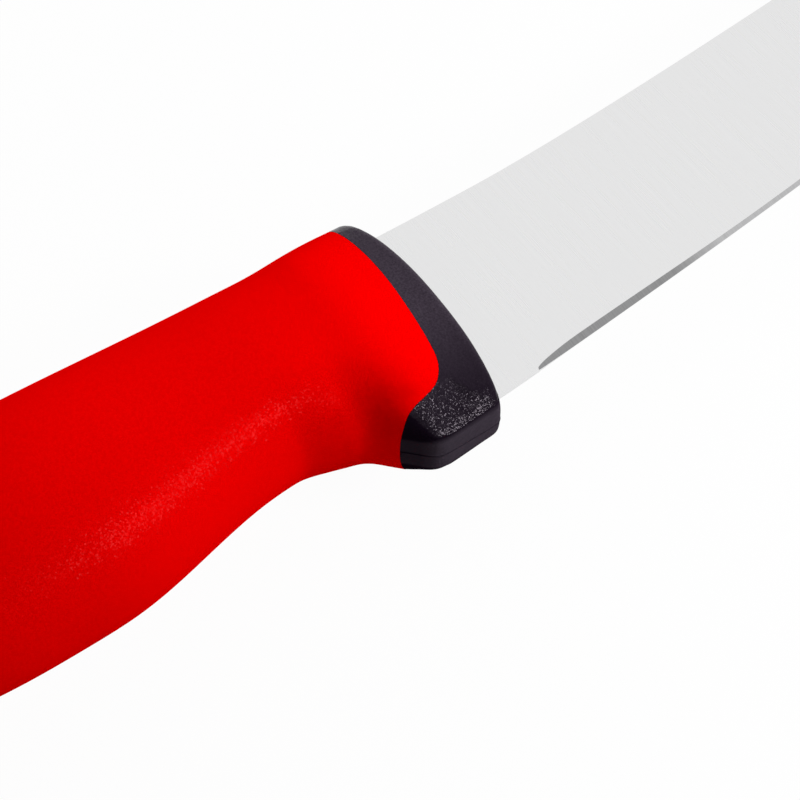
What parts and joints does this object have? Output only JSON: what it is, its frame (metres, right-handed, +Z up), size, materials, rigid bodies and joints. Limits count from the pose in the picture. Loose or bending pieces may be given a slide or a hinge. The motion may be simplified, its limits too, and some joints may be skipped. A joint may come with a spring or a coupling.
{
  "type": "curved butcher knife",
  "caption": "Curved butcher knife on its side: upswept taper-ground steel blade, black moulded collar with finger guard, red soft grip with finger groove and palm swell.",
  "frame": {"origin": "under the middle of the knife as it lies on its side, on the plane that its lower side touches", "axes": "+X along the knife to the tip, +Y from the cutting edge to the spine, +Z up through the thickness"},
  "size_m": [0.3228, 0.0506, 0.0254],
  "materials": {
    "blade_steel": "fine satin ground sides with a sharpened strip along the edge",
    "core_plastic": "black moulded plastic with a coarse spark-eroded grain",
    "grip_plastic": "bright red soft moulded grip with a fine grain"
  },
  "bodies": {
    "root": {"blade": "blade_steel", "handle_core": "core_plastic", "grip": "grip_plastic"}
  },
  "joints": []
}
